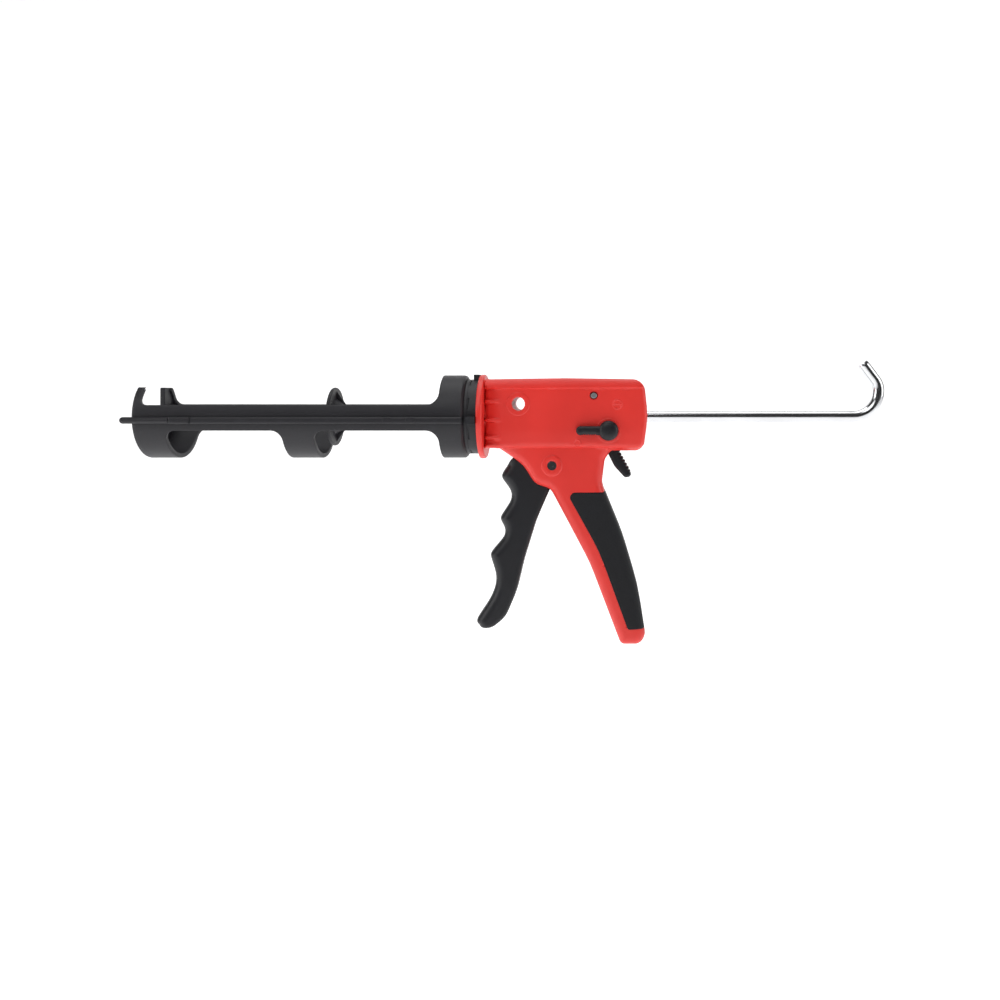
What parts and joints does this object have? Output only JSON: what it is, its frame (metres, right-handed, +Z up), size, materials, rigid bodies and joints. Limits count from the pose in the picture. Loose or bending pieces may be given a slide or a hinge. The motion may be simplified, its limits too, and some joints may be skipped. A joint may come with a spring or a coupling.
{
  "type": "caulking gun",
  "caption": "Hand caulking gun with a swivelling half-open cartridge cradle, hooked push rod, squeeze trigger, thumb release and drip-stop selector",
  "frame": {"origin": "on the push rod's axis, in the plane where the cartridge's rear end seats", "axes": "+X towards the hook, the nozzle end at -X, +Z up, the handle hangs down, -Y is the side with the selector knob"},
  "size_m": [0.5196, 0.0624, 0.1957],
  "materials": {
    "black_plastic": "satin",
    "trigger_plastic": "satin",
    "red_plastic": "semi-gloss",
    "grip_rubber": "matte",
    "bright_steel": "bright plated",
    "spring_steel": "satin",
    "plate_steel": "hardened",
    "dark_steel": "blackened",
    "bush_plastic": "natural"
  },
  "bodies": {
    "housing": {"housing_left": "red_plastic", "housing_right": "red_plastic", "housing_screws": "dark_steel", "grip_pad": "grip_rubber", "front_bush": "bush_plastic", "rear_bush": "bush_plastic", "trigger_pivot_pin": "dark_steel", "pivot_pin_clip": "spring_steel", "drive_spring": "spring_steel", "brake_spring": "spring_steel", "stop_pin": "spring_steel", "snap_ring": "spring_steel", "lever_spring": "spring_steel"},
    "cradle": {"cradle": "black_plastic", "piercing_pin": "black_plastic", "swivel_collar": "black_plastic"},
    "rod": {"rod": "bright_steel", "rod_hook": "bright_steel", "plunger": "black_plastic", "plunger_screw": "spring_steel", "plunger_washer": "spring_steel", "plunger_nut": "spring_steel"},
    "trigger": {"trigger": "trigger_plastic"},
    "drive": {"drive_plates": "plate_steel"},
    "lever": {"release_lever": "trigger_plastic"},
    "brake": {"brake_plate": "plate_steel"},
    "selector": {"selector_knob": "trigger_plastic", "selector_shaft": "spring_steel", "selector_cam": "dark_steel", "selector_clip": "spring_steel"}
  },
  "joints": [
    {"name": "cradle_swivel", "type": "hinge", "parent": "housing", "child": "cradle", "pos_m": [0.004, 0, 0], "axis": [1, 0, 0], "continuous": true},
    {"name": "rod_slide", "type": "slide", "parent": "housing", "child": "rod", "axis": [1, 0, 0], "range_m": [-0.1215, 0.0955]},
    {"name": "trigger_squeeze", "type": "hinge", "parent": "housing", "child": "trigger", "pos_m": [0.0588, 0, -0.0333], "axis": [0, -1, 0], "range_deg": [0, 26], "stiffness_Nm_per_rad": 0.6, "springref_deg": -11.46},
    {"name": "drive_slide", "type": "slide", "parent": "housing", "child": "drive", "axis": [-1, 0, 0], "range_m": [0, 0.0115], "deforming": ["drive_spring"]},
    {"name": "lever_press", "type": "hinge", "parent": "housing", "child": "lever", "pos_m": [0.0975, 0, -0.0091], "axis": [0, 1, 0], "range_deg": [0, 12], "stiffness_Nm_per_rad": 0.1, "springref_deg": -11.46},
    {"name": "brake_tilt", "type": "hinge", "parent": "housing", "child": "brake", "pos_m": [0.08364, 0, 0.0165], "axis": [0, 1, 0], "range_deg": [0, 2.5], "deforming": ["brake_spring"]},
    {"name": "selector_turn", "type": "hinge", "parent": "housing", "child": "selector", "pos_m": [0.0975, 0, -0.0091], "axis": [0, 1, 0], "range_deg": [0, 90]}
  ],
  "couplings": [
    {"joint": "drive_slide", "follows": "trigger_squeeze", "m_per_rad": 0.0245},
    {"joint": "brake_tilt", "follows": "lever_press", "ratio": 0.2}
  ]
}
